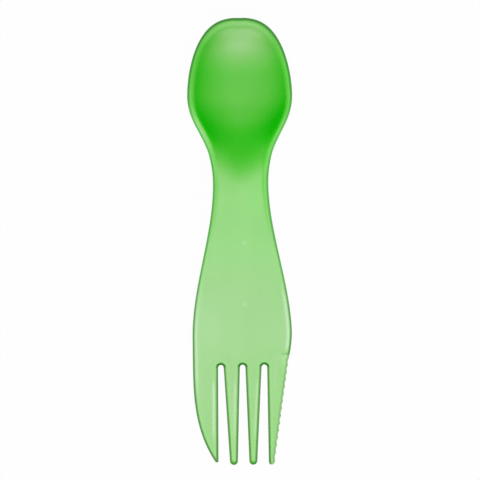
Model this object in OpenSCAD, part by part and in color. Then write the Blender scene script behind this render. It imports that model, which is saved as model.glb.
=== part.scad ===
// Spork: a spoon bowl at one end, a fork with a serrated cutting tine at the other.
// It is one moulding, drawn as its named regions, which meet face to face.
// Axes: +Y is the spoon tip, +X the cutting tine, +Z up. It lies bowl up on Z = 0.
// Distances called "at" run from the spoon tip towards the tine tips.

/* [Overall size] */
// Overall length from the spoon tip to the tine tips
length = 170; // [150:1:190]
// Height of the arched handle above the table
height = 20; // [17:0.5:23]
// Thickness of the moulded wall
wall = 1.8; // [1.6:0.1:2.2]

/* [Spoon bowl] */
// Width of the bowl
bowl_w = 40; // [36:0.5:43]
// Distance from the spoon tip to the widest place of the bowl
bowl_widest_at = 29.8; // [27:0.2:33]
// Shape of the front: how straight the edge runs from the tip to the sides, less is straighter
bowl_side_power = 1.85; // [1.6:0.05:2.2]
// Shape of the front: how blunt its tip is, 2 is an ellipse and more is blunter
bowl_tip_power = 2.7; // [2:0.1:3]
// Depth of the bowl below its rim
bowl_depth = 9.6; // [7:0.2:10.6]
// Shape of the bowl across: 2 is round and more has a flatter floor
bowl_floor_power = 2.6; // [2.2:0.1:2.8]

/* [Neck and handle] */
// Width of the waist behind the bowl
waist_w = 21; // [18:0.5:25]
// Distance from the spoon tip to the waist
waist_at = 63.2; // [60:0.2:67]
// How far the handle's edges stand above its middle line
handle_dish = 0.4; // [0.2:0.1:0.8]

/* [Fork] */
// Width of the fork
fork_w = 38; // [36:0.5:41]
// Length of the fork, from the place where it reaches its full width to the tine tips
fork_len = 48.3; // [46:0.1:53]
// How far the fork's edges stand above its middle line
fork_dish = 1.6; // [1:0.1:2]
// Thickness of the tines at their tips
tine_tip_wall = 1.3; // [1.2:0.1:1.6]

/* [Slots between the tines] */
// Length of the slots, from their round tops to the tine tips
slot_len = 37.8; // [36:0.1:40.5]
// Width of a slot at its round root
slot_root_w = 2.1; // [1.8:0.1:2.5]
// Width of a slot between the tine tips
slot_mouth_w = 4.4; // [4:0.1:5]
// Distance between the middles of two slot roots
slot_pitch = 8.3; // [7.8:0.1:8.8]
// How far the two outer slots' outer edges lean out on their way to the tips
slot_lean = 0.2; // [0:0.1:0.5]

/* [Pointed outer tine] */
// How far short of the other tine tips the point ends
point_setback = 1; // [0.5:0.5:3]
// Distance of the point's outer edge from the middle line
point_x = 10.6; // [10.4:0.1:11]
// Sharpness of the sweep into the point
point_power = 3.3; // [2.6:0.1:3.8]

/* [Cutting tine] */
// Length of the blade, from its shoulder to the tine tips
blade_len = 42.1; // [41:0.1:44]
// Distance of the serrated edge from the middle line at the shoulder
blade_root_x = 18; // [17.5:0.05:18.1]
// Distance of the serrated edge from the middle line at the tip
blade_tip_x = 11.7; // [11:0.05:12]
// Distance of the bevel's inner line from the middle line
bevel_x = 12.3; // [11.8:0.1:13.5]
// Thickness of the blade along its edge
blade_wall = 0.6; // [0.4:0.1:1]
// Number of teeth along the blade
tooth_count = 14; // [8:1:16]
// Depth of a tooth
tooth_depth = 0.3; // [0.2:0.05:0.5]

/* [Resting faces] */
// Depth of the small flats worn into the bowl and the fork where they meet the table
rest_cut = 0.15; // [0.1:0.01:0.2]

/* [Hidden] */

plastic = [0.47, 0.8, 0.38];

// Heights of the wall's middle surface where it is lowest and highest
low_z = wall / 2 - rest_cut;
high_z = height - wall / 2 - handle_dish;
// Where the fork reaches its full width
fork_widest_at = length - fork_len;
// Where the knife shoulder is
shoulder_at = length - blade_len;
// Where the slots' round roots end
root_at = length - slot_len + slot_root_w / 2;
// Where the pointed outer tine ends
point_at = length - point_setback;
// Where the outer edge starts to sweep into the point
sweep_at = shoulder_at - wall / 2;
// The shoulder's step takes this length, and the edge eases towards it over the next
step_len = wall / 4;
ease_len = 5 * wall;
ease_in = wall / 2;
// The teeth fill the blade between these two places
teeth_from = shoulder_at + wall;
teeth_to = length - wall;
// Rows of facets, and so the borders between nodes, bow towards the spoon tip by this at the widest
row_bow = wall / 2;
// Box that cuts the resting flats, larger than the part each way
cut_box = 2 * length;

// Node borders, as shares of the length
bowl_end_share = 0.33;
neck_end_share = 0.43;
handle_end_share = 0.62;

// Middle line seen from the side: share along, share of the rise, slope
spine_shares = [
    [0, 0.44, -5.2],
    [0.09, 0.1, -2.37],
    [0.18, 0, 0],
    [0.28, 0.275, 5.38],
    [0.35, 0.68, 4.85],
    [0.42, 0.905, 2.22],
    [0.49, 1, 0],
    [0.59, 0.68, -5.74],
    [0.68, 0.15, -4.51],
    [0.745, 0, 0],
    [0.86, 0.145, 2.05],
    [1, 0.49, 2.9]
];
// Height of the edges above the middle line: share along, height, slope
lift_shares = [
    [0, 0, 11.7 * bowl_depth],
    [0.09, 0.7 * bowl_depth, 5 * bowl_depth],
    [0.18, 0.98 * bowl_depth, 1.05 * bowl_depth],
    [0.24, 0.93 * bowl_depth, -3.1 * bowl_depth],
    [0.3, 0.6 * bowl_depth, -7.3 * bowl_depth],
    [0.36, 0.16 * bowl_depth, -3 * bowl_depth],
    [0.45, handle_dish, 0],
    [0.56, handle_dish, 0],
    [0.74, fork_dish, 0],
    [1, 0.8 * fork_dish, 0]
];
// Share of the power that flattens the bowl's floor: share along, share, slope
floor_shares = [[0, 0, 0], [0.12, 1, 0], [0.27, 1, 0], [0.4, 0, 0], [1, 0, 0]];
// Half width from the bowl's widest place to the waist: share along, share, slope
waist_shares = [[0, 1, 0], [0.34, 0.678, -1.8], [0.68, 0.144, -0.91], [1, 0, 0]];

// Easing of a slot root's edges: how far it opens and at what height, as shares of half the wall
easing_shares = [[0, 0], [0.13, 0.5], [0.5, 0.87], [1.5, 1.45]];

// Steps across a wide region and across a tine, and steps along each region
wide_steps = 24;
tine_steps = 12;
bowl_rows = 34;
neck_rows = 9;
handle_rows = 14;
palm_rows = 12;
shoulder_rows = 4;
tine_rows = 14;
tip_rows = 5;
tooth_rows = 4;
root_facets = 48;

// Cubic curve through knots of [place, value, slope]
function knot_of(knots, t, i = 0) =
    i >= len(knots) - 2 || t < knots[i + 1][0] ? i : knot_of(knots, t, i + 1);
function between_knots(a, b, t) =
    let (h = b[0] - a[0], v = (t - a[0]) / h, w = 1 - v)
    a[1] * (1 + 2 * v) * w * w + a[2] * h * v * w * w
    + b[1] * v * v * (3 - 2 * v) - b[2] * h * v * v * w;
function curve(knots, t) =
    let (i = knot_of(knots, t)) between_knots(knots[i], knots[i + 1], t);
function clamp(v) = min(1, max(0, v));
function mix(a, b, v) = a + (b - a) * v;

// Outline, as distances from the middle line
function front_half(at) =
    bowl_w / 2 * pow(1 - pow(1 - at / bowl_widest_at, bowl_side_power), 1 / bowl_tip_power);
function waist_half(at) =
    mix(waist_w, bowl_w, curve(waist_shares, (at - bowl_widest_at) / (waist_at - bowl_widest_at))) / 2;
function fork_half(at) =
    let (v = clamp((at - waist_at) / (fork_widest_at - waist_at)))
    mix(waist_w, fork_w, v * v * (3 - 2 * v)) / 2;
function half_w(at) =
    at < bowl_widest_at ? front_half(at) : at < waist_at ? waist_half(at) : fork_half(at);
function outer_edge(at) =
    half_w(at) - (fork_w / 2 - point_x) * pow(clamp((at - sweep_at) / (point_at - sweep_at)), point_power);
function tooth_cut(at) =
    at < teeth_from || at > teeth_to ? 0
    : tooth_depth * abs(sin(180 * tooth_count * (at - teeth_from) / (teeth_to - teeth_from)));
function blade_edge(at) =
    mix(blade_root_x, blade_tip_x, (at - shoulder_at) / (length - shoulder_at)) - tooth_cut(at);
function cutting_edge(at) =
    mix(half_w(at) - ease_in * pow(clamp((at - shoulder_at + ease_len) / ease_len), 2),
        blade_edge(at), clamp((at - shoulder_at) / step_len));

// Edges of the slots
function slot_w(at) = mix(slot_root_w, slot_mouth_w, clamp((at - root_at) / (length - root_at)));
function side_slot_out(at) =
    slot_pitch + slot_root_w / 2 + slot_lean * clamp((at - root_at) / (length - root_at));
function side_slot_in(at) = side_slot_out(at) - slot_w(at);

// The wall's middle surface, and how steep it is across and along
function spine(at) = mix(low_z, high_z, curve(spine_shares, at / length));
function lift(at) = curve(lift_shares, at / length);
function power(at) = mix(2, bowl_floor_power, curve(floor_shares, at / length));
function middle_z(x, at) = spine(at) + lift(at) * pow(abs(x) / half_w(at), power(at));
function steep_x(x, at) =
    sign(x) * lift(at) * power(at) / half_w(at) * pow(abs(x) / half_w(at), power(at) - 1);
function steep_at(at) =
    let (d = wall / 4) (spine(at + d) - spine(max(0, at - d))) / (at + d - max(0, at - d));

// Half of the thickness: full rounds on every edge, thinner tines, ground blade
function half_wall(at) = mix(wall, tine_tip_wall, clamp((at - root_at) / (length - root_at))) / 2;
function rounded(r, d) = d >= r ? r : sqrt(max(0, r * r - (r - d) * (r - d)));
function ground(x, at, edge) =
    x <= bevel_x || edge <= bevel_x ? 1
    : mix(1, mix(blade_wall / wall, 1, clamp((edge - x) / (edge - bevel_x))),
        clamp((at - shoulder_at) / step_len));

// How far a steep rim's round edge would overhang the outline
function overhang(at) = wall / 2 * (1 - 1 / norm([1, steep_x(half_w(at), at)]));

// One closed section of the wall between two edges. Its middle lies nearer the spoon tip than its
// ends, by bow at the bowl's widest and by less where the part is narrower.
function section(left_edge, right_edge, at, end_gap, steps, blade, bow) =
    let (
        r = half_wall(at),
        flare = norm([1, (half_w(at + r) - half_w(max(0, at - r))) / (at + r - max(0, at - r))]),
        cs = [for (i = [0:steps]) (1 - cos(180 * i / steps)) / 2],
        lag = bow * pow(half_w(at) / (bowl_w / 2), 2),
        ats = [for (c = cs) at - lag * (1 - pow(2 * c - 1, 2))],
        ls = [for (a = ats) left_edge(a)],
        rs = [for (a = ats) right_edge(a)],
        xs = [for (i = [0:steps]) mix(ls[i], rs[i], cs[i])],
        up = [for (i = [0:steps])
            let (
                m = steep_x(xs[i], ats[i]),
                n = norm([1, m]),
                edge_gap = min(xs[i] - ls[i], rs[i] - xs[i]) * n / flare,
                h = rounded(half_wall(ats[i]), min(end_gap, edge_gap))
                    * (blade ? ground(xs[i], ats[i], rs[i]) : 1)
            )
            [-m / n * h, h / n * norm([1, steep_at(ats[i])])]]
    )
    concat(
        [for (i = [0:steps]) [xs[i] + up[i][0], length / 2 - ats[i], middle_z(xs[i], ats[i]) + up[i][1]]],
        [for (i = [steps - 1:-1:1])
            [xs[i] - up[i][0], length / 2 - ats[i], middle_z(xs[i], ats[i]) - up[i][1]]]
    );

// A solid through a list of sections with the same number of points. Its ends are ladders of
// triangles from top to bottom, the same ones on both sides of a border.
module loft(sections) {
    n = len(sections[0]);
    last = len(sections) - 1;
    sides = [for (k = [0:last - 1]) for (i = [0:n - 1]) for (half = [0, 1])
        let (a = k * n + i, b = k * n + (i + 1) % n, c = a + n, d = b + n)
        half == 0 ? [a, b, d] : [a, d, c]];
    ladder = [for (i = [0:n / 2 - 1]) for (half = [0, 1])
        let (below = (n - i) % n, next_below = n - i - 1)
        if (half == 0 ? i < n / 2 - 1 : i > 0)
            half == 0 ? [i + 1, i, next_below] : [next_below, i, below]];
    first_cap = ladder;
    last_cap = [for (f = ladder) [for (j = [2:-1:0]) last * n + f[j]]];
    polyhedron([for (s = sections) each s], concat(first_cap, sides, last_cap), convexity = 6);
}

// Places along a region: even steps, and steps that close in on a round tip
function even(from, to, rows) = [for (k = [0:rows]) mix(from, to, k / rows)];
function to_tip(tip_at, r) = [for (k = [1:tip_rows]) tip_at - r * (1 - sin(88 * k / tip_rows))];

module wide_region(places) {
    loft([for (at = places)
        section(function(a) overhang(a) - outer_edge(a), function(a) cutting_edge(a) - overhang(a),
            at, at, wide_steps, true, row_bow)]);
}

// A tine between two edges, closed by a round tip of radius r
module tine(left_edge, right_edge, tip_at, r, places, blade) {
    loft([for (at = concat(places, to_tip(tip_at, r)))
        let (
            a = left_edge(at),
            b = right_edge(at),
            closing = at <= tip_at - r ? 1 : sqrt(1 - pow((at - tip_at + r) / r, 2))
        )
        section(function(w) mix((a + b) / 2, a, closing), function(w) mix((a + b) / 2, b, closing),
            at, tip_at - at, tine_steps, blade, 0)]);
}

module above_table() {
    difference() {
        children();
        translate([-cut_box / 2, -cut_box / 2, -cut_box])
            cube(cut_box);
    }
}

// Cutter for a slot's round root, with eased edges like those of the tines beside it
module root_cutter(x) {
    r = slot_root_w / 2;
    h = half_wall(root_at);
    easing = [for (e = easing_shares) [r + e[0] * h, e[1] * h]];
    under = [for (k = [len(easing) - 1:-1:1]) [easing[k][0], -easing[k][1]]];
    end_z = easing[len(easing) - 1][1];
    translate([x, length / 2 - root_at, middle_z(x, root_at)])
        rotate_extrude($fn = root_facets)
            polygon(concat([[0, -end_z]], under, easing, [[0, end_z]]));
}

module bowl() {
    end_at = bowl_end_share * length;
    color(plastic)
        above_table()
            wide_region([for (k = [1:bowl_rows]) end_at * (1 - cos(90 * k / bowl_rows))]);
}

module neck() {
    color(plastic)
        wide_region(even(bowl_end_share * length, neck_end_share * length, neck_rows));
}

module handle() {
    color(plastic)
        wide_region(even(neck_end_share * length, handle_end_share * length, handle_rows));
}

module fork_palm() {
    color(plastic)
        above_table()
            difference() {
                wide_region(concat(
                    even(handle_end_share * length, shoulder_at, palm_rows),
                    even(shoulder_at + step_len / 2, shoulder_at + step_len, 1),
                    even(teeth_from, root_at + wall, shoulder_rows)
                ));
                for (x = [-slot_pitch, 0, slot_pitch])
                    root_cutter(x);
                translate([-cut_box / 2, length / 2 - root_at - cut_box, -cut_box / 2])
                    cube(cut_box);
            }
}

module outer_tine() {
    r = (point_x - side_slot_out(length)) / 2;
    color(plastic)
        tine(function(at) -outer_edge(at), function(at) -side_slot_out(at), point_at, r,
            even(root_at, point_at - r, 2 * tine_rows), false);
}

module inner_tine_left() {
    r = (side_slot_in(length) - slot_w(length) / 2) / 2;
    color(plastic)
        tine(function(at) -side_slot_in(at), function(at) -slot_w(at) / 2, length, r,
            even(root_at, length - r, tine_rows), false);
}

module inner_tine_right() {
    r = (side_slot_in(length) - slot_w(length) / 2) / 2;
    color(plastic)
        tine(function(at) slot_w(at) / 2, function(at) side_slot_in(at), length, r,
            even(root_at, length - r, tine_rows), false);
}

module cutting_tine() {
    r = (blade_tip_x - side_slot_out(length)) / 2;
    tooth_len = (teeth_to - teeth_from) / tooth_count;
    gone = ceil((root_at - teeth_from) / tooth_len * tooth_rows + 0.5);
    whole = floor((length - r - teeth_from) / tooth_len * tooth_rows - 0.5);
    color(plastic)
        tine(function(at) side_slot_out(at), function(at) cutting_edge(at), length, r,
            concat([root_at], [for (k = [gone:whole]) teeth_from + k * tooth_len / tooth_rows],
                [length - r]), true);
}

bowl();
neck();
handle();
fork_palm();
outer_tine();
inner_tine_left();
inner_tine_right();
cutting_tine();
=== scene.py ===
import math

import bpy
import numpy as np
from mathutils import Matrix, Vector
from mathutils.geometry import delaunay_2d_cdt

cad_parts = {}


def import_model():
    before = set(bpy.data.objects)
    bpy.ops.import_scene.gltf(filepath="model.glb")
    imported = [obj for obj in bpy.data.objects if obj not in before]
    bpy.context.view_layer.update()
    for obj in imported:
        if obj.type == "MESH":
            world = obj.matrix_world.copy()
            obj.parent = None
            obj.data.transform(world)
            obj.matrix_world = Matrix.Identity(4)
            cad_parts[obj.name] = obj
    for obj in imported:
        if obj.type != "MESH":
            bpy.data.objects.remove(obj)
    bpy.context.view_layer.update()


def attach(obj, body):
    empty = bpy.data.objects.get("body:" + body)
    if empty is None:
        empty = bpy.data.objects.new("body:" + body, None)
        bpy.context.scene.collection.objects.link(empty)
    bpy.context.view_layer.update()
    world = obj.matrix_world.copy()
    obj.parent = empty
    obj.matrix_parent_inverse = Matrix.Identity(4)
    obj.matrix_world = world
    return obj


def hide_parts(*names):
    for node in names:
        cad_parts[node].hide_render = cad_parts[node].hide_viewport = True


# The spork is one moulding, so one closed mesh replaces all the CAD nodes. Lengths here are in
# millimetres, measured "at" so far from the spoon tip, and go out in metres in the row frame.
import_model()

# One of Blender's units in millimetres
METRE = 1000

# Sizes of the moulding, the same as in the CAD
LENGTH, HEIGHT, WALL = 170.0, 20.0, 1.8
BOWL_W, WIDEST_AT, BOWL_DEPTH, FLOOR_POWER = 40.0, 29.8, 9.6, 2.6
SIDE_POWER, TIP_POWER = 1.85, 2.7
WAIST_W, WAIST_AT, HANDLE_DISH = 21.0, 63.2, 0.4
FORK_W, FORK_AT, FORK_DISH, TIP_WALL = 38.0, 121.7, 1.6, 1.3
SLOT_TOP, SLOT_ROOT_W, SLOT_MOUTH_W, SLOT_PITCH, SLOT_LEAN = 132.2, 2.1, 4.4, 8.3, 0.2
POINT_SETBACK, POINT_X, POINT_POWER = 1.0, 10.6, 3.3
SHOULDER_AT, BLADE_ROOT_X, BLADE_TIP_X, BEVEL_X, BLADE_WALL = 127.9, 18.0, 11.7, 12.3, 0.6
TOOTH_COUNT, TOOTH_DEPTH = 14, 0.3
REST_CUT = 0.15
# The CAD's facets cut the curves short, by up to a tenth of a millimetre along the part, so the fine
# mesh is drawn in by shares that keep it inside the CAD's box.
INSIDE_BOX = (0.9994, 0.9988, 0.999)

# The middle surface is worked out from here on, and no further out than this share of the half width.
AT_LEAST, U_AT_MOST = 0.01, 1.1
# Its slope is taken over so far on each side.
SLOPE_STEP = 0.05

ROOT_AT = SLOT_TOP + SLOT_ROOT_W / 2
POINT_AT = LENGTH - POINT_SETBACK
SWEEP_AT = SHOULDER_AT - WALL / 2
STEP, EASE_LEN, EASE_IN = WALL / 4, 5 * WALL, WALL / 2
TEETH_FROM, TEETH_TO = SHOULDER_AT + WALL, LENGTH - WALL
LOW, HIGH = WALL / 2 - REST_CUT, HEIGHT - WALL / 2 - HANDLE_DISH

# Shares of the rise and of the dish along the part, as (place, value, slope) with places from 0 to 1
D = BOWL_DEPTH
SPINE = [(0, 0.44, -5.2), (0.09, 0.1, -2.37), (0.18, 0, 0), (0.28, 0.275, 5.38), (0.35, 0.68, 4.85),
         (0.42, 0.905, 2.22), (0.49, 1, 0), (0.59, 0.68, -5.74), (0.68, 0.15, -4.51), (0.745, 0, 0),
         (0.86, 0.145, 2.05), (1, 0.49, 2.9)]
LIFT = [(0, 0, 11.7 * D), (0.09, 0.7 * D, 5 * D), (0.18, 0.98 * D, 1.05 * D), (0.24, 0.93 * D, -3.1 * D),
        (0.3, 0.6 * D, -7.3 * D), (0.36, 0.16 * D, -3 * D), (0.45, HANDLE_DISH, 0),
        (0.56, HANDLE_DISH, 0), (0.74, FORK_DISH, 0), (1, 0.8 * FORK_DISH, 0)]
FLOORS = [(0, 0, 0), (0.12, 1, 0), (0.27, 1, 0), (0.4, 0, 0), (1, 0, 0)]
WAIST = [(0, 1, 0), (0.34, 0.678, -1.8), (0.68, 0.144, -0.91), (1, 0, 0)]

# How far apart the fine mesh's points are along the outline, and where they count as one
BOWL_STEP, EDGE_STEP, BLADE_STEP, SHOULDER_STEP = 0.5, 0.55, 0.4, 0.15
ROUND_STEPS, POINT_STEPS, TOOTH_STEPS = 14, 10, 8
SAME_POINT, CLOSEST = 0.03, 0.028
FRONT_POINTS, EDGE_POINTS = 600, 400
# Rings of points round the edge's half circle, as (degrees, gap), and further in, as (millimetres, gap)
ROUND_RINGS = ((14, 0.16), (28, 0.16), (42, 0.16), (56, 0.16), (72, 0.3), (90, 0.3))
INNER_RINGS = ((0.3, 0.35), (0.65, 0.45), (1.05, 0.45), (1.5, 0.5), (2.1, 0.6))
# A ring's point is left out if another stretch of the outline is nearer than this share of its inset.
STILL_NEAREST = 0.97
# The grid of points inside the rings
GRID_X, GRID_STEP, GRID_MARGIN = 21, 1.0, 0.6
GRID_ROW = GRID_STEP * 0.866
# Points closer to the outline than this are on it, and those closer together merge.
ON_EDGE, MERGED = 1e-4, 1e-5
# What the triangulation is asked for: the triangles inside the outline
INSIDE_ONLY = 1
# How many points are measured at a time
BATCH = 1500


def curve(knots, t):
    """Cubic curve through knots of (place, value, slope)."""
    k, t = np.array(knots, float), np.asarray(t, float)
    i = np.clip(np.searchsorted(k[:, 0], t, side="right") - 1, 0, len(k) - 2)
    h = k[i + 1, 0] - k[i, 0]
    v = (t - k[i, 0]) / h
    w = 1 - v
    return (k[i, 1] * (1 + 2 * v) * w * w + k[i, 2] * h * v * w * w
            + k[i + 1, 1] * v * v * (3 - 2 * v) - k[i + 1, 2] * h * v * v * w)


def share(a, b, v):
    """How far v is from a to b, from 0 to 1."""
    return np.clip((np.asarray(v, float) - a) / (b - a), 0, 1)


def mix(a, b, v):
    return a + (b - a) * v


def smooth(a, b, v):
    s = share(a, b, v)
    return s * s * (3 - 2 * s)


def half_w(at):
    """Half the width, as if the spork had no blade, point or slots."""
    at = np.asarray(at, float)
    front = BOWL_W / 2 * (1 - (1 - share(0, WIDEST_AT, at)) ** SIDE_POWER) ** (1 / TIP_POWER)
    waist = mix(WAIST_W, BOWL_W, curve(WAIST, share(WIDEST_AT, WAIST_AT, at))) / 2
    fork = mix(WAIST_W, FORK_W, smooth(WAIST_AT, FORK_AT, at)) / 2
    return np.where(at < WIDEST_AT, front, np.where(at < WAIST_AT, waist, fork))


def outer_edge(at):
    """How far out the left edge is, which sweeps in to the point."""
    return half_w(at) - (FORK_W / 2 - POINT_X) * share(SWEEP_AT, POINT_AT, at) ** POINT_POWER


def cutting_edge(at):
    """How far out the right edge is, with the shoulder and the teeth."""
    at = np.asarray(at, float)
    tooth = TOOTH_DEPTH * np.abs(np.sin(np.pi * TOOTH_COUNT * share(TEETH_FROM, TEETH_TO, at)))
    blade = mix(BLADE_ROOT_X, BLADE_TIP_X, (at - SHOULDER_AT) / (LENGTH - SHOULDER_AT)) - tooth
    eased = half_w(at) - EASE_IN * share(SHOULDER_AT - EASE_LEN, SHOULDER_AT, at) ** 2
    return mix(eased, blade, share(SHOULDER_AT, SHOULDER_AT + STEP, at))


def slot_w(at):
    return mix(SLOT_ROOT_W, SLOT_MOUTH_W, share(ROOT_AT, LENGTH, at))


def side_slot_out(at):
    """How far out the outer side of a side slot is."""
    return SLOT_PITCH + SLOT_ROOT_W / 2 + SLOT_LEAN * share(ROOT_AT, LENGTH, at)


def side_slot_in(at):
    """How far out the inner side of a side slot is."""
    return side_slot_out(at) - slot_w(at)


def middle_z(x, at):
    """The height of the wall's middle surface."""
    at = np.maximum(at, AT_LEAST)
    u = np.minimum(np.abs(x) / half_w(at), U_AT_MOST)
    spine = LOW + (HIGH - LOW) * curve(SPINE, at / LENGTH)
    return spine + curve(LIFT, at / LENGTH) * u ** mix(2, FLOOR_POWER, curve(FLOORS, at / LENGTH))


def slopes(x, at):
    """How steep the middle surface is along +X and along +Y."""
    e = SLOPE_STEP
    a, b = np.maximum(at - e, AT_LEAST), at + e
    return ((middle_z(x + e, at) - middle_z(x - e, at)) / (2 * e),
            (middle_z(x, a) - middle_z(x, b)) / (b - a))


def half_wall(at):
    return mix(WALL, TIP_WALL, share(ROOT_AT, LENGTH, at)) / 2


def resampled(points, step):
    """The same open line with evenly spaced points, ends kept."""
    p = np.array(points, float)
    run = np.concatenate([[0], np.cumsum(np.linalg.norm(np.diff(p, axis=0), axis=1))])
    n = max(2, int(round(run[-1] / step)) + 1)
    t = np.linspace(0, run[-1], n)
    return np.column_stack([np.interp(t, run, p[:, 0]), np.interp(t, run, p[:, 1])])


def edge_line(edge, a, b, step=EDGE_STEP):
    at = np.linspace(a, b, EDGE_POINTS)
    return resampled(np.column_stack([edge(at), at]), step)


def tip_line(left, right, tip_at, r, steps=ROUND_STEPS):
    """The round end of a tine, from its right edge over the tip to its left edge."""
    turn = np.linspace(0, np.pi, steps + 1)
    at = tip_at - r + r * np.sin(turn)
    a, b = left(at), right(at)
    return np.column_stack([(a + b) / 2 + (b - a) / 2 * np.cos(turn), at])


def root_line(x):
    """A slot's round root, from its right edge over the top to its left edge."""
    turn = np.linspace(0, np.pi, ROUND_STEPS + 1)
    r = SLOT_ROOT_W / 2
    return np.column_stack([x + r * np.cos(turn), ROOT_AT - r * np.sin(turn)])


def half_slot(at):
    return slot_w(at) / 2


def minus(edge):
    """The same edge on the left."""
    return lambda at: -edge(at)


def outline():
    """The closed outline seen from above as (x, at), clockwise from the spoon tip."""
    turn = np.linspace(0, np.pi / 2, FRONT_POINTS)
    front = np.column_stack([BOWL_W / 2 * np.sin(turn) ** (2 / TIP_POWER),
                             WIDEST_AT * (1 - np.cos(turn) ** (2 / SIDE_POWER))])
    right_front = resampled(front, BOWL_STEP)
    left_front = right_front[::-1] * (-1, 1)
    blade_r = (BLADE_TIP_X - side_slot_out(LENGTH)) / 2
    inner_r = (side_slot_in(LENGTH) - slot_w(LENGTH) / 2) / 2
    point_r = (POINT_X - side_slot_out(LENGTH)) / 2
    tooth = (TEETH_TO - TEETH_FROM) / TOOTH_COUNT
    rows = int((LENGTH - blade_r - TEETH_FROM) / tooth * TOOTH_STEPS)
    at = TEETH_FROM + np.arange(rows + 1) * tooth / TOOTH_STEPS
    teeth = np.column_stack([cutting_edge(at), at])
    lines = [
        right_front,
        edge_line(cutting_edge, WIDEST_AT, SHOULDER_AT),
        edge_line(cutting_edge, SHOULDER_AT, SHOULDER_AT + STEP, SHOULDER_STEP),
        edge_line(cutting_edge, SHOULDER_AT + STEP, TEETH_FROM, BLADE_STEP),
        teeth,
        tip_line(side_slot_out, cutting_edge, LENGTH, blade_r),
        edge_line(side_slot_out, LENGTH - blade_r, ROOT_AT),
        root_line(SLOT_PITCH),
        edge_line(side_slot_in, ROOT_AT, LENGTH - inner_r),
        tip_line(half_slot, side_slot_in, LENGTH, inner_r),
        edge_line(half_slot, LENGTH - inner_r, ROOT_AT),
        root_line(0),
        edge_line(minus(half_slot), ROOT_AT, LENGTH - inner_r),
        tip_line(minus(side_slot_in), minus(half_slot), LENGTH, inner_r),
        edge_line(minus(side_slot_in), LENGTH - inner_r, ROOT_AT),
        root_line(-SLOT_PITCH),
        edge_line(minus(side_slot_out), ROOT_AT, POINT_AT - point_r),
        tip_line(minus(outer_edge), minus(side_slot_out), POINT_AT, point_r, POINT_STEPS),
        edge_line(minus(outer_edge), POINT_AT - point_r, WIDEST_AT),
        left_front,
    ]
    loop = []
    for line in lines:
        for p in line:
            if not loop or np.hypot(*(p - loop[-1])) > SAME_POINT:
                loop.append(p)
    while np.hypot(*(loop[0] - loop[-1])) < SAME_POINT:
        loop.pop()
    return np.array(loop)


def outward(loop):
    """Unit vectors out of a clockwise (x, at) loop, whose left is outside."""
    ahead, behind = np.roll(loop, -1, 0) - loop, loop - np.roll(loop, 1, 0)
    ahead /= np.linalg.norm(ahead, axis=1)[:, None]
    behind /= np.linalg.norm(behind, axis=1)[:, None]
    way = ahead + behind
    way /= np.linalg.norm(way, axis=1)[:, None]
    return np.column_stack([way[:, 1], -way[:, 0]])


def steep_towards(x, at, way):
    """How steeply the middle surface rises in the directions way."""
    zx, zy = slopes(x, at)
    return zx * way[:, 0] - zy * way[:, 1]


def nearest_edge(points, loop):
    """Distance from each point to the loop, and the direction there."""
    a, b = loop, np.roll(loop, -1, 0)
    ab = b - a
    length2 = (ab * ab).sum(1)
    best, way = np.empty(len(points)), np.empty((len(points), 2))
    for lo in range(0, len(points), BATCH):
        p = points[lo:lo + BATCH, None]
        t = np.clip(((p - a) * ab).sum(2) / length2, 0, 1)
        off = a + ab * t[..., None] - p
        d = np.linalg.norm(off, axis=2)
        i = d.argmin(1)
        rows = np.arange(len(i))
        best[lo:lo + BATCH] = d[rows, i]
        way[lo:lo + BATCH] = off[rows, i] / np.maximum(d[rows, i], 1e-6)[:, None]
    return best, way


def thinned(points, gap):
    """The points in order, without those nearer than gap to an earlier one."""
    kept, cells = [], {}
    for n, (x, y) in enumerate(points):
        cx, cy = int(math.floor(x / gap)), int(math.floor(y / gap))
        near = (m for i in (-1, 0, 1) for j in (-1, 0, 1) for m in cells.get((cx + i, cy + j), ()))
        if all((points[m][0] - x) ** 2 + (points[m][1] - y) ** 2 >= gap * gap for m in near):
            cells.setdefault((cx, cy), []).append(n)
            kept.append(n)
    return points[kept]


def ring(loop, way, inset, gap):
    """Points so far in from the loop, where no other stretch of it is nearer."""
    points = loop - way * inset[:, None]
    far, _ = nearest_edge(points, loop)
    return thinned(points[far > inset * STILL_NEAREST], gap)


def grid(loop):
    """Even rows of points inside the rings."""
    xs, ats = np.meshgrid(np.arange(-GRID_X, GRID_X, GRID_STEP), np.arange(1, LENGTH, GRID_ROW))
    xs = xs + (np.arange(len(ats)) % 2 * GRID_STEP / 2)[:, None]
    points = np.column_stack([xs.ravel(), ats.ravel()])
    points = points[np.abs(points[:, 0]) < np.maximum(outer_edge(points[:, 1]), cutting_edge(points[:, 1]))]
    far, _ = nearest_edge(points, loop)
    return points[far > half_wall(points[:, 1]) + GRID_MARGIN]


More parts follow.
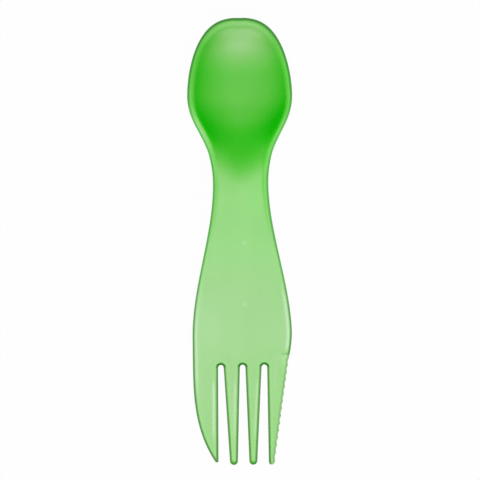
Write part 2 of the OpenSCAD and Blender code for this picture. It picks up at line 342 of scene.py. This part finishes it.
def plan_mesh():
    """The flat triangles: points (x, at), faces, and each point's distance and direction to the edge."""
    full = outline()
    way = outward(full)
    steep = steep_towards(full[:, 0], full[:, 1], way)
    # The round edge of a wall that slopes hangs out past the end of its middle surface.
    overhang = half_wall(full[:, 1]) * (1 - 1 / np.sqrt(1 + steep ** 2))
    loop = full - way * overhang[:, None]
    r = half_wall(loop[:, 1])
    rings = [ring(loop, way, r * (1 - math.cos(math.radians(turn))) / np.sqrt(1 + steep ** 2), gap)
             for turn, gap in ROUND_RINGS]
    rings += [ring(loop, way, r + extra, gap) for extra, gap in INNER_RINGS]
    # Rings of narrow places can meet, so points that all but coincide are thinned once more.
    inner = thinned(np.vstack(rings + [grid(loop)]), CLOSEST)
    points = [Vector(p) for p in np.vstack([loop, inner])]
    border = [list(range(len(loop)))]
    flat, _, faces, *_ = delaunay_2d_cdt(points, [], border, INSIDE_ONLY, MERGED)
    flat = np.array([tuple(p) for p in flat])
    used = np.unique([i for f in faces for i in f])
    again = {int(v): n for n, v in enumerate(used)}
    flat = flat[used]
    faces = [[again[i] for i in f] for f in faces]
    far, towards = nearest_edge(flat, loop)
    return flat, faces, np.where(far < ON_EDGE, 0, far), towards


def hump(middle, width, v):
    return np.exp(-((v - middle) / width) ** 2)


def after(a, b):
    """A span that starts softly from a to b and has no end."""
    return a, b, ENDLESS, ENDLESS + 1


def before(a, b):
    """A span that has no start and ends softly from a to b."""
    return -ENDLESS - 1, -ENDLESS, a, b


def place(span, v):
    """How much v is in a span, from 0 to 1.

    A span is a hump (middle, width), a stretch (a, b, c, d) with soft ends a to b and c to d, or None
    for everywhere.
    """
    if span is None:
        return 1.0
    if len(span) == 2:
        return hump(*span, v)
    a, b, c, d = span
    return smooth(a, b, v) * (1 - smooth(c, d, v))


def ramps(plan, v):
    """A plan's first value, and the changes (amount, from, to) that v has passed."""
    value, *changes = plan
    for amount, a, b in changes:
        value = value + amount * smooth(a, b, v)
    return value


def patches(rows, x, at, far):
    """The sum of local changes, each an amount with its spans along, across and in from the edge."""
    return sum(amount * place(along, at) * place(across, x) * place(inset, far)
               for amount, along, across, inset in rows)


# Further out than any point of the part
ENDLESS = 1000
LEFT, RIGHT = before(-10, -4), after(4, 10)
LEFT_HALF, RIGHT_HALF = before(-8, -2), after(-1, 1)

# How deep the green is: a depth of 1 lets through 1/e of the red. The grip's first value is the plastic's
# own green, and its changes along the part are painted light and shade. Light that comes up through the bowl
# passes its walls more than once, so the bowl is painted deeper than the grip, as painted shade.
GRIP_DEPTH = (0.76, (-0.22, 74, 118), (0.06, 118, 140), (0.12, 140, 166))
BOWL_SHADE_DEPTH = (0.72, (0.9, 9, 23), (0.2, 30, 37), (0.86, 37.6, 46.4))
# The bowl floor's painted shade ends in a U on the neck.
HEEL_BEND, HEEL_ROUND = 0.48, 2
BOWL_SHADE_FADES, WALL_FADES = (50, 65), (45, 54)
WALL_REACH = 4
# Painted shade: the bowl's walls are drawn deeper green, most near the rim and less further in.
WALL_SHADE_PATCHES = (
    (3.2, after(2, 10), None, None),
    (2.6, (41, 6.5), None, None),
    (1.6, (41, 6.5), after(5, 15), None),
    # Painted light: the right wall is paler than the left one in the front of the bowl
    (-1.05, (0, 7, 22, 36), after(0, 9), None),
)
INSIDE_SHADE_AND_HIGHLIGHT = (
    # Painted shade in a dark line inside the rim round the tip, and a painted highlight in a pale spot
    # behind it
    (0.5, before(4, 9), None, (3.0, 0.65)),
    (-0.25, (9.5, 3.5), (1, 7), None),
    (-0.2, (6, 2.2), (1, 7), None),
    # Painted shade: the left half is deeper in the bowl, and painted light makes it paler at the start of
    # the neck
    (0.1, (22, 9), LEFT_HALF, None),
    (0.17, (37, 5), LEFT_HALF, None),
    (0.3, (43, 6), LEFT, (4, 2.5)),
    (-0.18, (53.5, 4), LEFT_HALF, None),
    # The waist is a little deeper
    (0.1, (62, 4), None, None),
)
# Seen from above, the rim is a paler band about as wide as the wall, where the bowl's painted shade stops.
BAND_DEPTH = (0.8, (0.92, -3, 12), (-0.27, 18, 30), (-0.5, 30, 41), (0.2, 44, 54))
BAND_LIGHT_AND_SHADE = (
    # Painted light and shade: at the heel it is deeper on the right and paler on the left, and in front
    # paler on the right
    (0.32, (28, 38, 46, 58), after(8, 14), None),
    (-0.35, (43, 6), LEFT, None),
    (-0.15, (15, 8), RIGHT, None),
)
BAND_FADES = (60, 92)
# Its width in millimetres
BAND_WIDTH = (2.7, (-0.7, 3, 12), (-0.55, 28, 44), (0.5, 54, 64))
BAND_WIDTH_PATCHES = (
    (-0.3, after(10, 24), after(5, 12), None),
    (0.3, (43, 6), LEFT, None),
    (0.12, (39.5, 3), RIGHT, None),
)
BAND_SOFT = 0.35
PAINTED_EDGE_LINES = (
    # Painted highlight: the band ends in a pale line round the tip of the bowl, paler on the right
    (-0.12, before(6, 16), None, (2.1, 0.4)),
    (-0.22, before(6, 16), after(-6, 4), (2.1, 0.4)),
    # A narrow line of deeper green runs down the right side of the neck
    (0.55, (46, 54, 62, 88), RIGHT_HALF, (1.95, 0.35)),
    (-0.1, (46, 54, 62, 88), RIGHT_HALF, (1.3, 0.3)),
)
# Painted highlights: paler strips lie just inside the long edges of the fork and along the right of three
# tines, where the way to the nearest edge goes left or right by more than this share.
SIDEWAYS = 0.5
LEFT_STRIP, LEFT_STRIP_SPAN, LEFT_STRIP_X = (0.12, (0.08, 115, 135)), (98, 106, 134, 148), -11
LEFT_STRIP_WIDE, LEFT_STRIP_THIN, THIN_SHARE, THIN_FROM = (1.35, 0.8), (1.35, 0.4), 0.9, (106, 118)
RIGHT_STRIP, RIGHT_STRIP_X = (0.42, (99, 108, 125, 128), None, (1.45, 0.6)), 14
# Each tine's painted highlight strip is (x from, x to, amount, hump in from the edge).
TINE_STRIP_SPAN = (137, 141, 156, 163)
TINE_STRIPS = ((-FORK_W, -8, 0.5, (1.8, 0.45)), (-8, 0, 0.3, (1.7, 0.4)), (0, 8, 0.3, (1.35, 0.4)))
# Painted shade makes the ground bevel a little deeper than the tine, with a painted highlight in a pale line
# where it starts.
BEVEL_HIGHLIGHT = (0.12, (SHOULDER_AT, SHOULDER_AT + 2, 139, 144), (BEVEL_X, 0.3), None)
GROUND_SHADE, GROUND_EASE_AT, GROUND_EASE_X = 0.22, 9, 2.4
GROUND_ROOT_X, GROUND_TIP_X, GROUND_SPAN = BEVEL_X + 0.4, BEVEL_X - 2, (140, 165)
# Painted shade makes the tips of the two inner tines deeper and darker.
INNER_TINES_X = 7.6
TIPS_SHADE, TIPS_DEEP_FROM, TIPS_DARK_FROM = 1.9, (168.2, 169.5), (168.6, 169.6)
# The skin shows its own colour, which is a little paler than the same depth seen through.
SKIN_FADES, SKIN_DEPTH, LINE_DEPTH = (0.32, 0.8), 0.18, 0.6

# Painted shade in the dark line along the outline: how far it reaches in, where it is solid and gone, and
# how dark it is
LINE_REACH, LINE_FADES = (1.25, (-0.23, 3, 12), (-0.15, 25, 43)), (0.5, 1.15)
LINE_DARK = (1.3, (-0.45, 17, 42), (0.1, 46, 58))
ROOT_LINE_W, ROOT_REACH, ROOT_DARK, ROOTS_X = 0.5, 0.08, 1.05, 10.5
SLOT_SIDES_DARK, SLOT_SIDES_EASE, SLOT_SIDES_X = -0.12, 2, 10.2
TIPS_DARK, BLADE_DARK, NOTCH_DARK, OFF_SLOT = 0.4, 0.2, 0.6, 1
NOTCH_AT, NOTCH_X = (SHOULDER_AT + 0.2, 0.32), after(14.4, 15.8)

# Painted light: how much greener than its depth the plastic is, where light that runs along the wall comes
# out
SKIN_LIT = 0.2
LIT_PATCHES = (
    (0.1, (44, 14), None, before(1.4, 2.4)),
    (0.04, (84, 14), None, None),
    (0.04, (36, 50, 68, 82), None, None),
    (0.05, (36, 50, 68, 82), after(-4, 10), None),
    (0.1, (21, 9), RIGHT, before(1.6, 2.6)),
    (0.06, after(85, 100), None, (1.2, 0.6)),
)
TIP_DULL, TIP_LINE_DULL, TIP_LINE = 0.06, 0.03, (3, 1)
TIP_SPAN, TIP_INSET = before(11, 19), after(2.3, 3.1)
LINE_LIT = (0.08, (0.22, 8, 26), (-0.1, 50, 62), (-0.08, 82, 94), (-0.3, 92, 115))
LINE_LIT_PATCHES = (
    (-0.1, (29, 7), None, None),
    (0.15, None, None, before(0, 0.35)),
)
SLOT_SIDES_LIT, ROOT_LIT, BLADE_LIT = 0.07, 0.25, 0.1


def depth_along(x, at, far):
    """How deep the green is, with its painted light and shade, without the fork's highlight strips, bevel
    and tips.
    """
    grip = ramps(GRIP_DEPTH, at)
    back = at + HEEL_BEND * (np.hypot(x, HEEL_ROUND) - HEEL_ROUND)
    floor = mix(grip, ramps(BOWL_SHADE_DEPTH, at), 1 - smooth(*BOWL_SHADE_FADES, back))
    wall = patches(WALL_SHADE_PATCHES, x, at, far) * (1 - smooth(*WALL_FADES, back)) * np.exp(-far / WALL_REACH)
    inside = floor + wall + patches(INSIDE_SHADE_AND_HIGHLIGHT, x, at, far)
    band = ramps(BAND_DEPTH, at) + patches(BAND_LIGHT_AND_SHADE, x, at, far)
    band = mix(band, grip, smooth(*BAND_FADES, at))
    width = ramps(BAND_WIDTH, at) + patches(BAND_WIDTH_PATCHES, x, at, far)
    depth = mix(band, inside, smooth(width - BAND_SOFT, width + BAND_SOFT, far))
    return depth + patches(PAINTED_EDGE_LINES, x, at, far)


def fork_highlights(x, at, far, towards):
    """How much paler the painted highlight strips of the fork are."""
    left, right = towards[:, 0] < -SIDEWAYS, towards[:, 0] > SIDEWAYS
    thin = THIN_SHARE * smooth(*THIN_FROM, at) * hump(*LEFT_STRIP_THIN, far)
    pale = ramps(LEFT_STRIP, at) * place(LEFT_STRIP_SPAN, at) * (hump(*LEFT_STRIP_WIDE, far) + thin)
    pale = pale * (left & (x < LEFT_STRIP_X))
    pale = pale + patches([RIGHT_STRIP], x, at, far) * (right & (x > RIGHT_STRIP_X))
    for x_from, x_to, amount, inset in TINE_STRIPS:
        on_tine = right & (x >= x_from) & (x < x_to)
        pale = pale + amount * place(TINE_STRIP_SPAN, at) * hump(*inset, far) * on_tine
    return pale


def bevel_shade(x, at, far):
    """How much deeper the ground bevel of the cutting tine is painted as shade, less its painted highlight
    line.
    """
    starts_x = mix(GROUND_ROOT_X, GROUND_TIP_X, share(*GROUND_SPAN, at))
    ground = smooth(SHOULDER_AT, SHOULDER_AT + GROUND_EASE_AT, at) * smooth(0, GROUND_EASE_X, x - starts_x)
    return GROUND_SHADE * ground - patches([BEVEL_HIGHLIGHT], x, at, far)


def on_inner_tips(x, at, span):
    """How far a place on the two inner tines is past the span, from 0 to 1."""
    return (np.abs(x) < INNER_TINES_X) * smooth(*span, at)


def depth_of_tint(x, at, far, towards, skin, line):
    """How deep the green is, with its painted light and shade."""
    depth = depth_along(x, at, far) - fork_highlights(x, at, far, towards) + bevel_shade(x, at, far)
    depth = depth + TIPS_SHADE * on_inner_tips(x, at, TIPS_DEEP_FROM)
    return mix(np.maximum(depth, 0) + SKIN_DEPTH * skin, LINE_DEPTH, line)


def near_root(x, at):
    """1 at the tops of the slots, where the painted outline shade is widest and darkest."""
    off = np.abs(at - (SLOT_TOP - ROOT_LINE_W / 2)) - ROOT_LINE_W
    return hump(0, ROOT_LINE_W, np.maximum(off, 0)) * (np.abs(x) < ROOTS_X)


def by_slot(x, at):
    """1 along the sides of the slots."""
    return (np.abs(x) < SLOT_SIDES_X) * smooth(ROOT_AT, ROOT_AT + SLOT_SIDES_EASE, at)


def on_blade(x, at, towards):
    """True by the cutting edge."""
    return (at > SHOULDER_AT + STEP) & (towards[:, 0] > 0) & (x > side_slot_out(at) + OFF_SLOT)


def outline_line(x, at, inset):
    """1 in the painted dark line along the outline, and 0 away from it."""
    reach = ramps(LINE_REACH, at) + ROOT_REACH * near_root(x, at)
    solid, gone = LINE_FADES
    return 1 - smooth(solid * reach, gone * reach, inset)


def outline_shade(x, at, towards, line):
    """How dark the painted outline shade is, from 0 to about 2."""
    dark = ramps(LINE_DARK, at) + ROOT_DARK * near_root(x, at) + SLOT_SIDES_DARK * by_slot(x, at)
    dark = dark + TIPS_DARK * on_inner_tips(x, at, TIPS_DARK_FROM)
    notch = NOTCH_DARK * place(NOTCH_AT, at) * place(NOTCH_X, x)
    return np.maximum(np.where(on_blade(x, at, towards), BLADE_DARK, dark) * line, notch)


def lit_by_edge(x, at, far, towards, cover, line):
    """How much greener than its depth the plastic is painted, as light that runs along the wall."""
    rim = SKIN_LIT * cover + patches(LIT_PATCHES, x, at, far)
    dull = TIP_DULL + TIP_LINE_DULL * hump(*TIP_LINE, far)
    rim = rim - dull * place(TIP_SPAN, at) * place(TIP_INSET, far)
    edge = ramps(LINE_LIT, at) + patches(LINE_LIT_PATCHES, x, at, far) + SLOT_SIDES_LIT * by_slot(x, at)
    edge = edge + ROOT_LIT * near_root(x, at) + BLADE_LIT * on_blade(x, at, towards)
    return mix(rim, edge, line)


def tint_values(x, at, far, towards, inset):
    """What the material reads at one face's points: depth, skin, edge (painted shade) and lit (painted
    light).
    """
    line = outline_line(x, at, inset)
    # The rounded edge closes up, because the light that is caught in it doesn't come back out.
    cover = np.maximum(1 - smooth(*SKIN_FADES, far), line)
    return (depth_of_tint(x, at, far, towards, cover, line), cover,
            outline_shade(x, at, towards, line), lit_by_edge(x, at, far, towards, cover, line))


def ground_share(x, at):
    """The share of the wall that is left under the ground bevel of the cutting tine."""
    edge = cutting_edge(at)
    width = np.maximum(edge - BEVEL_X, 1e-3)
    ground = mix(BLADE_WALL / WALL, 1, np.clip((edge - x) / width, 0, 1))
    ground = mix(1, ground, share(SHOULDER_AT, SHOULDER_AT + STEP, at))
    return np.where((x <= BEVEL_X) | (edge <= BEVEL_X) | (at < SHOULDER_AT), 1, ground)


def wall_faces(x, at, far, towards):
    """The wall's upper and lower points, and how far inside the outline the upper ones are seen."""
    zx, zy = slopes(x, at)
    steep = steep_towards(x, at, towards)
    stretch = np.sqrt(1 + steep ** 2)
    r = half_wall(at)
    h = np.sqrt(np.maximum(r * r - np.maximum(r - far * stretch, 0) ** 2, 0))
    seen = r * (1 - 1 / stretch) + far + np.maximum(steep, 0) / stretch * h
    h = h * ground_share(x, at)
    normal = np.column_stack([-zx, -zy, np.ones_like(zx)])
    normal /= np.linalg.norm(normal, axis=1)[:, None]
    middle = np.column_stack([x, LENGTH / 2 - at, middle_z(x, at)])
    top, bottom = middle + normal * h[:, None], middle - normal * h[:, None]
    bottom[:, 2] = np.maximum(bottom[:, 2], 0)
    return top, bottom, seen


def moulding():
    """The whole spork as one closed mesh, with the wall's two faces set off from its middle surface."""
    flat, faces, far, towards = plan_mesh()
    x, at = flat[:, 0], flat[:, 1]
    top, bottom, seen = wall_faces(x, at, far, towards)
    # The two faces share the points of the rim.
    rim = far == 0
    n = len(flat)
    below = np.where(rim, np.arange(n), 0)
    below[~rim] = n + np.arange((~rim).sum())
    points = np.vstack([top, bottom[~rim]]) * INSIDE_BOX
    # The plan's faces turn one way as seen from above, and the wall's two faces face apart.
    a, b, c = flat[faces[0]]
    turned = (b[0] - a[0]) * (c[1] - a[1]) - (b[1] - a[1]) * (c[0] - a[0]) > 0
    upper = [f[::-1] if turned else list(f) for f in faces]
    lower = [[int(below[i]) for i in f[::-1]] for f in upper]
    mesh = bpy.data.meshes.new("spork_moulding")
    mesh.from_pydata((points / METRE).tolist(), [], upper + lower)
    mesh.validate()
    mesh.update()
    mesh.polygons.foreach_set("use_smooth", [True] * len(mesh.polygons))

    sides = [tint_values(x, at, far, towards, inset) for inset in (seen, far)]
    for name, upper_side, lower_side in zip(("depth", "skin", "edge", "lit"), *sides):
        layer = mesh.attributes.new(name, "FLOAT", "POINT")
        layer.data.foreach_set("value", np.concatenate([upper_side, lower_side[~rim]]).astype(np.float32))
    piece = bpy.data.objects.new("spork_moulding", mesh)
    bpy.context.scene.collection.objects.link(piece)
    return piece


class Tree:
    """Short names for building a node material."""

    def __init__(self, name):
        self.material = bpy.data.materials.new(name)
        self.material.use_nodes = True
        self.nodes, self.links = self.material.node_tree.nodes, self.material.node_tree.links
        self.nodes.clear()
        self.out = self.add("OutputMaterial")

    def add(self, kind, **values):
        node = self.nodes.new("ShaderNode" + kind)
        for key, value in values.items():
            if hasattr(node, key):
                setattr(node, key, value)
            else:
                self.feed(node, key.replace("_", " "), value)
        return node

    def feed(self, node, socket, value):
        target = node.inputs[socket]
        if isinstance(value, bpy.types.NodeSocket):
            self.links.new(value, target)
        else:
            target.default_value = value

    def maths(self, operation, *values, clamp=False):
        node = self.add("Math", operation=operation, use_clamp=clamp)
        for n, value in enumerate(values):
            self.feed(node, n, value)
        return node.outputs[0]

    def ranged(self, value, lo, hi, to_lo=0.0, to_hi=1.0):
        node = self.add("MapRange", clamp=True, interpolation_type="SMOOTHSTEP")
        sockets = ("Value", "From Min", "From Max", "To Min", "To Max")
        for socket, v in zip(sockets, (value, lo, hi, to_lo, to_hi)):
            self.feed(node, socket, v)
        return node.outputs["Result"]

    def noise(self, vector, scale, detail, roughness):
        node = self.add("TexNoise", Vector=vector, Scale=scale, Detail=detail, Roughness=roughness)
        return node.outputs["Fac"]

    def mixed(self, factor, a, b):
        node = self.add("Mix", data_type="RGBA", blend_type="MIX")
        for socket, value in zip((0, 6, 7), (factor, a, b)):
            self.feed(node, socket, value)
        return node.outputs[2]


# Specks and paler smudges inside the moulding, as (x, y, radius, depth) in millimetres in the row frame
SPECKS = [(6.7, -19.6, 0.4, 0.5), (-4.4, -24.9, 0.32, 0.4), (7.7, -31.4, 0.38, 0.4),
          (0.0, -4.8, 0.3, 0.35), (1.2, -0.6, 1.6, -0.14), (1.0, -23.8, 1.2, -0.14),
          (-3.4, 8.1, 0.22, 0.25), (4.9, -9.4, 0.24, 0.25)]
# The share of a speck's radius in which it is even
SPECK_CORE = 0.3
# How much of each colour a depth of 1 and a painted outline shade of 1 absorb
RED_DEEP, GREEN_DEEP, BLUE_DEEP = 1.0, 0.68, 1.36
RED_DARK, GREEN_DARK, BLUE_DARK = 1.6, 0.76, 1.8
# How soon green is absorbed less, as the first layers take what they can
GREEN_TIRES = 0.5
# The skin's share of opaque plastic, and the clear plastic under it
SKIN_OPACITY, IOR = 0.9, 1.5
VOLUME_COLOUR, VOLUME_DENSITY = (0.28, 0.72, 0.17, 1), 250.0
# Noise is (scale, detail, roughness), with the range of it that counts. Stretch is along x, y and z.
FLOW_STRETCH, FLOW_NOISE, FLOW_RANGE, FLOW_SHIFT = (60, 14, 60), (1.0, 3.0, 0.55), (0.3, 0.7), 0.05
HAIR_STRETCH, HAIR_TURN, HAIR_NOISE, HAIR_RANGE = (2600, 120, 900), 0.35, (1.0, 2.0, 0.6), (0.62, 0.78)
WEAR_NOISE, WEAR_RANGE, PEEL_NOISE = (55.0, 4.0, 0.6), (0.25, 0.75), (420.0, 3.0, 0.5)
SMOOTH_GLOSS, WORN_GLOSS, SCRATCH_GLOSS = 0.1, 0.2, 0.08
PEEL_HEIGHT, SCRATCH_HEIGHT, BUMP_STRENGTH, BUMP_HEIGHT = 0.6, -0.25, 0.12, 0.0001


def tint_depth(t, place_in_part):
    """The green's depth with its painted light and shade, slow shifts from the melt's flow along it, and the
    specks.
    """
    depth = t.add("Attribute", attribute_name="depth").outputs["Fac"]
    flow = t.add("Mapping", Vector=place_in_part, Scale=FLOW_STRETCH).outputs[0]
    depth = t.maths("ADD", depth, t.ranged(t.noise(flow, *FLOW_NOISE), *FLOW_RANGE, -FLOW_SHIFT, FLOW_SHIFT))
    flat = t.add("VectorMath", operation="MULTIPLY")
    t.links.new(place_in_part, flat.inputs[0])
    flat.inputs[1].default_value = (1, 1, 0)
    for x, y, r, amount in SPECKS:
        gap = t.add("VectorMath", operation="DISTANCE")
        t.links.new(flat.outputs[0], gap.inputs[0])
        gap.inputs[1].default_value = (x / METRE, y / METRE, 0)
        speck = t.ranged(gap.outputs["Value"], r * SPECK_CORE / METRE, r / METRE, amount, 0.0)
        depth = t.maths("ADD", depth, speck)
    return depth


def tint_colour(t, depth):
    """The colour that the depth leaves, each of red, green and blue absorbed by its own share of it."""
    # The edge attribute darkens the colour with the painted outline shade.
    edge = t.add("Attribute", attribute_name="edge").outputs["Fac"]
    # The lit attribute is painted light that makes the colour greener.
    lit = t.add("Attribute", attribute_name="lit").outputs["Fac"]
    tint = t.add("CombineColor")
    green = t.maths("SUBTRACT", 1.0, t.maths("POWER", math.exp(-GREEN_TIRES), depth))
    green = t.maths("MULTIPLY_ADD", lit, -1 / GREEN_DEEP, green)
    for socket, amount, deep, dark in (("Red", depth, RED_DEEP, RED_DARK),
                                       ("Green", green, GREEN_DEEP, GREEN_DARK),
                                       ("Blue", depth, BLUE_DEEP, BLUE_DARK)):
        body = t.maths("POWER", math.exp(-deep), amount)
        rim = t.maths("POWER", math.exp(-dark), edge)
        t.feed(tint, socket, t.maths("MULTIPLY", body, rim, clamp=True))
    return tint.outputs[0]


def green_plastic():
    t = Tree("green_plastic")
    place_in_part = t.add("TexCoord").outputs["Object"]
    skin = t.add("Attribute", attribute_name="skin").outputs["Fac"]
    colour = tint_colour(t, tint_depth(t, place_in_part))
    # Fine handling scratches and a faint orange peel in the gloss
    hair = t.add("Mapping", Vector=place_in_part, Rotation=(0, 0, HAIR_TURN), Scale=HAIR_STRETCH).outputs[0]
    scratches = t.ranged(t.noise(hair, *HAIR_NOISE), *HAIR_RANGE)
    wear = t.noise(place_in_part, *WEAR_NOISE)
    gloss = t.ranged(wear, *WEAR_RANGE, SMOOTH_GLOSS, WORN_GLOSS)
    gloss = t.maths("ADD", gloss, t.maths("MULTIPLY", scratches, SCRATCH_GLOSS))
    peel = t.noise(place_in_part, *PEEL_NOISE)
    height = t.maths("ADD", t.maths("MULTIPLY", peel, PEEL_HEIGHT),
                     t.maths("MULTIPLY", scratches, SCRATCH_HEIGHT))
    bump = t.add("Bump", Strength=BUMP_STRENGTH, Distance=BUMP_HEIGHT, Height=height)
    shader = t.add("BsdfPrincipled", Roughness=gloss, Normal=bump.outputs[0], IOR=IOR)
    t.feed(shader, "Base Color", colour)
    t.feed(shader, "Transmission Weight", t.maths("MULTIPLY_ADD", skin, -SKIN_OPACITY, 1.0))
    inside = t.add("VolumeAbsorption", Color=VOLUME_COLOUR, Density=VOLUME_DENSITY)
    t.links.new(shader.outputs[0], t.out.inputs["Surface"])
    t.links.new(inside.outputs[0], t.out.inputs["Volume"])
    return t.material


# The floor in metres, the share of its white that is its own, and its speckle
FLOOR_HALF, FLOOR_Z, FLOOR_GLOW = 3.0, -0.00005, 0.97
FLOOR_NOISE, FLOOR_DARK, FLOOR_PALE = (900.0, 2.0, 0.5), (0.8, 0.8, 0.8, 1), (0.83, 0.83, 0.83, 1)
# The room that glossy rays find: dim all round, with one soft light in the direction of the fork end
ROOM_LIGHT_AT, ROOM_LIGHT_FOCUS, ROOM_LIGHT, ROOM_DIM, SKY = (0.0, -0.6, 0.8), 4.0, 0.3, 0.12, 0.6
# Each lamp's name, place in metres, width and height, and watts
LAMPS = (
    ("key_box", (0.15, -0.7, 0.9), (0.6, 0.4), 3.0),
    ("left_strip", (-0.9, 0.0, 0.5), (0.3, 1.2), 1.2),
    ("right_strip", (0.9, 0.1, 0.5), (0.3, 1.2), 1.2),
)
# The photo's frame is 182.4 mm across at the part, which lies a little off its middle and turned.
LENS, SENSOR, FIELD, PART_MIDDLE_Z = 300.0, 36.0, 0.1824, 0.008
CAMERA_X, CAMERA_Y, CAMERA_TURN = -0.00047, 0.0005, 0.63
CLIP_NEAR, CLIP_FAR = 0.05, 20.0
# Light that is caught in the wall turns many times before it leaves, green and not black.
BOUNCES, BOUNCES_OF_A_KIND = 32, 24


def seen_by(t):
    """1 for the rays that see the white background, and 0 for those that light the object."""
    path = t.add("LightPath").outputs
    seen = t.maths("MAXIMUM", path["Is Camera Ray"], path["Is Glossy Ray"])
    return t.maths("MAXIMUM", seen, path["Is Transmission Ray"])


def table_top():
    t = Tree("pale_table")
    place_on_floor = t.add("TexCoord").outputs["Object"]
    speckle = t.noise(place_on_floor, *FLOOR_NOISE)
    body = t.add("BsdfDiffuse", Color=t.mixed(speckle, FLOOR_DARK, FLOOR_PALE))
    glow = t.add("Emission", Strength=1.0)
    blend = t.add("MixShader")
    t.feed(blend, 0, t.maths("MULTIPLY", seen_by(t), FLOOR_GLOW))
    t.links.new(body.outputs[0], blend.inputs[1])
    t.links.new(glow.outputs[0], blend.inputs[2])
    t.links.new(blend.outputs[0], t.out.inputs["Surface"])
    mesh = bpy.data.meshes.new("table_top")
    s, z = FLOOR_HALF, FLOOR_Z
    mesh.from_pydata([(-s, -s, z), (s, -s, z), (s, s, z), (-s, s, z)], [], [(0, 1, 2, 3)])
    mesh.materials.append(t.material)
    floor = bpy.data.objects.new("table_top", mesh)
    bpy.context.scene.collection.objects.link(floor)


def studio():
    world = bpy.data.worlds.new("studio")
    bpy.context.scene.world = world
    world.use_nodes = True
    nodes, links = world.node_tree.nodes, world.node_tree.links
    nodes.clear()

    def node(kind, **values):
        made = nodes.new("ShaderNode" + kind)
        for key, value in values.items():
            setattr(made, key, value)
        return made

    def chain(*pairs):
        for a, b in pairs:
            links.new(a, b)

    # Diffuse rays find an even sky, and glossy rays a dim room with one soft light above the fork end.
    path, way = node("LightPath"), node("TexCoord")
    dot, power, peak, dim = (node("VectorMath", operation="DOT_PRODUCT"), node("Math", operation="POWER"),
                             node("Math", operation="MULTIPLY_ADD"), node("Mix", data_type="FLOAT"))
    dot.inputs[1].default_value = Vector(ROOM_LIGHT_AT).normalized()
    power.inputs[1].default_value = ROOM_LIGHT_FOCUS
    peak.inputs[1].default_value, peak.inputs[2].default_value = ROOM_LIGHT, ROOM_DIM
    dim.inputs[2].default_value = SKY
    chain((way.outputs["Generated"], dot.inputs[0]), (dot.outputs["Value"], power.inputs[0]),
          (power.outputs[0], peak.inputs[0]), (path.outputs["Is Glossy Ray"], dim.inputs[0]),
          (peak.outputs[0], dim.inputs[3]))
    sky, white, out = node("Background"), node("Background"), node("OutputWorld")
    white.inputs["Color"].default_value = sky.inputs["Color"].default_value = (1, 1, 1, 1)
    either, blend = node("Math", operation="MAXIMUM"), node("MixShader")
    chain((dim.outputs[0], sky.inputs["Strength"]), (path.outputs["Is Camera Ray"], either.inputs[0]),
          (path.outputs["Is Transmission Ray"], either.inputs[1]), (either.outputs[0], blend.inputs[0]),
          (sky.outputs[0], blend.inputs[1]), (white.outputs[0], blend.inputs[2]),
          (blend.outputs[0], out.inputs["Surface"]))


def lamps():
    for name, location, size, watts in LAMPS:
        light = bpy.data.lights.new(name, "AREA")
        light.shape, light.size, light.size_y, light.energy = "RECTANGLE", *size, watts
        box = bpy.data.objects.new(name, light)
        box.location = location
        box.rotation_euler = (-Vector(location)).to_track_quat("-Z", "Y").to_euler()
        box.visible_glossy = box.visible_transmission = False
        bpy.context.scene.collection.objects.link(box)


def camera():
    data = bpy.data.cameras.new("camera")
    data.lens, data.sensor_width = LENS, SENSOR
    data.clip_start, data.clip_end = CLIP_NEAR, CLIP_FAR
    cam = bpy.data.objects.new("camera", data)
    cam.location = (CAMERA_X, CAMERA_Y, FIELD * LENS / SENSOR + PART_MIDDLE_Z)
    cam.rotation_euler = (0, 0, -math.radians(CAMERA_TURN))
    bpy.context.scene.collection.objects.link(cam)
    bpy.context.scene.camera = cam


piece = moulding()
piece.data.materials.append(green_plastic())
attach(piece, "root")
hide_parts("bowl", "neck", "handle", "fork_palm", "outer_tine", "inner_tine_left",
            "inner_tine_right", "cutting_tine")
table_top()
studio()
lamps()
camera()
bpy.context.scene.view_settings.view_transform = "Standard"
cycles = bpy.context.scene.cycles
cycles.max_bounces = BOUNCES
cycles.glossy_bounces = cycles.transmission_bounces = BOUNCES_OF_A_KIND
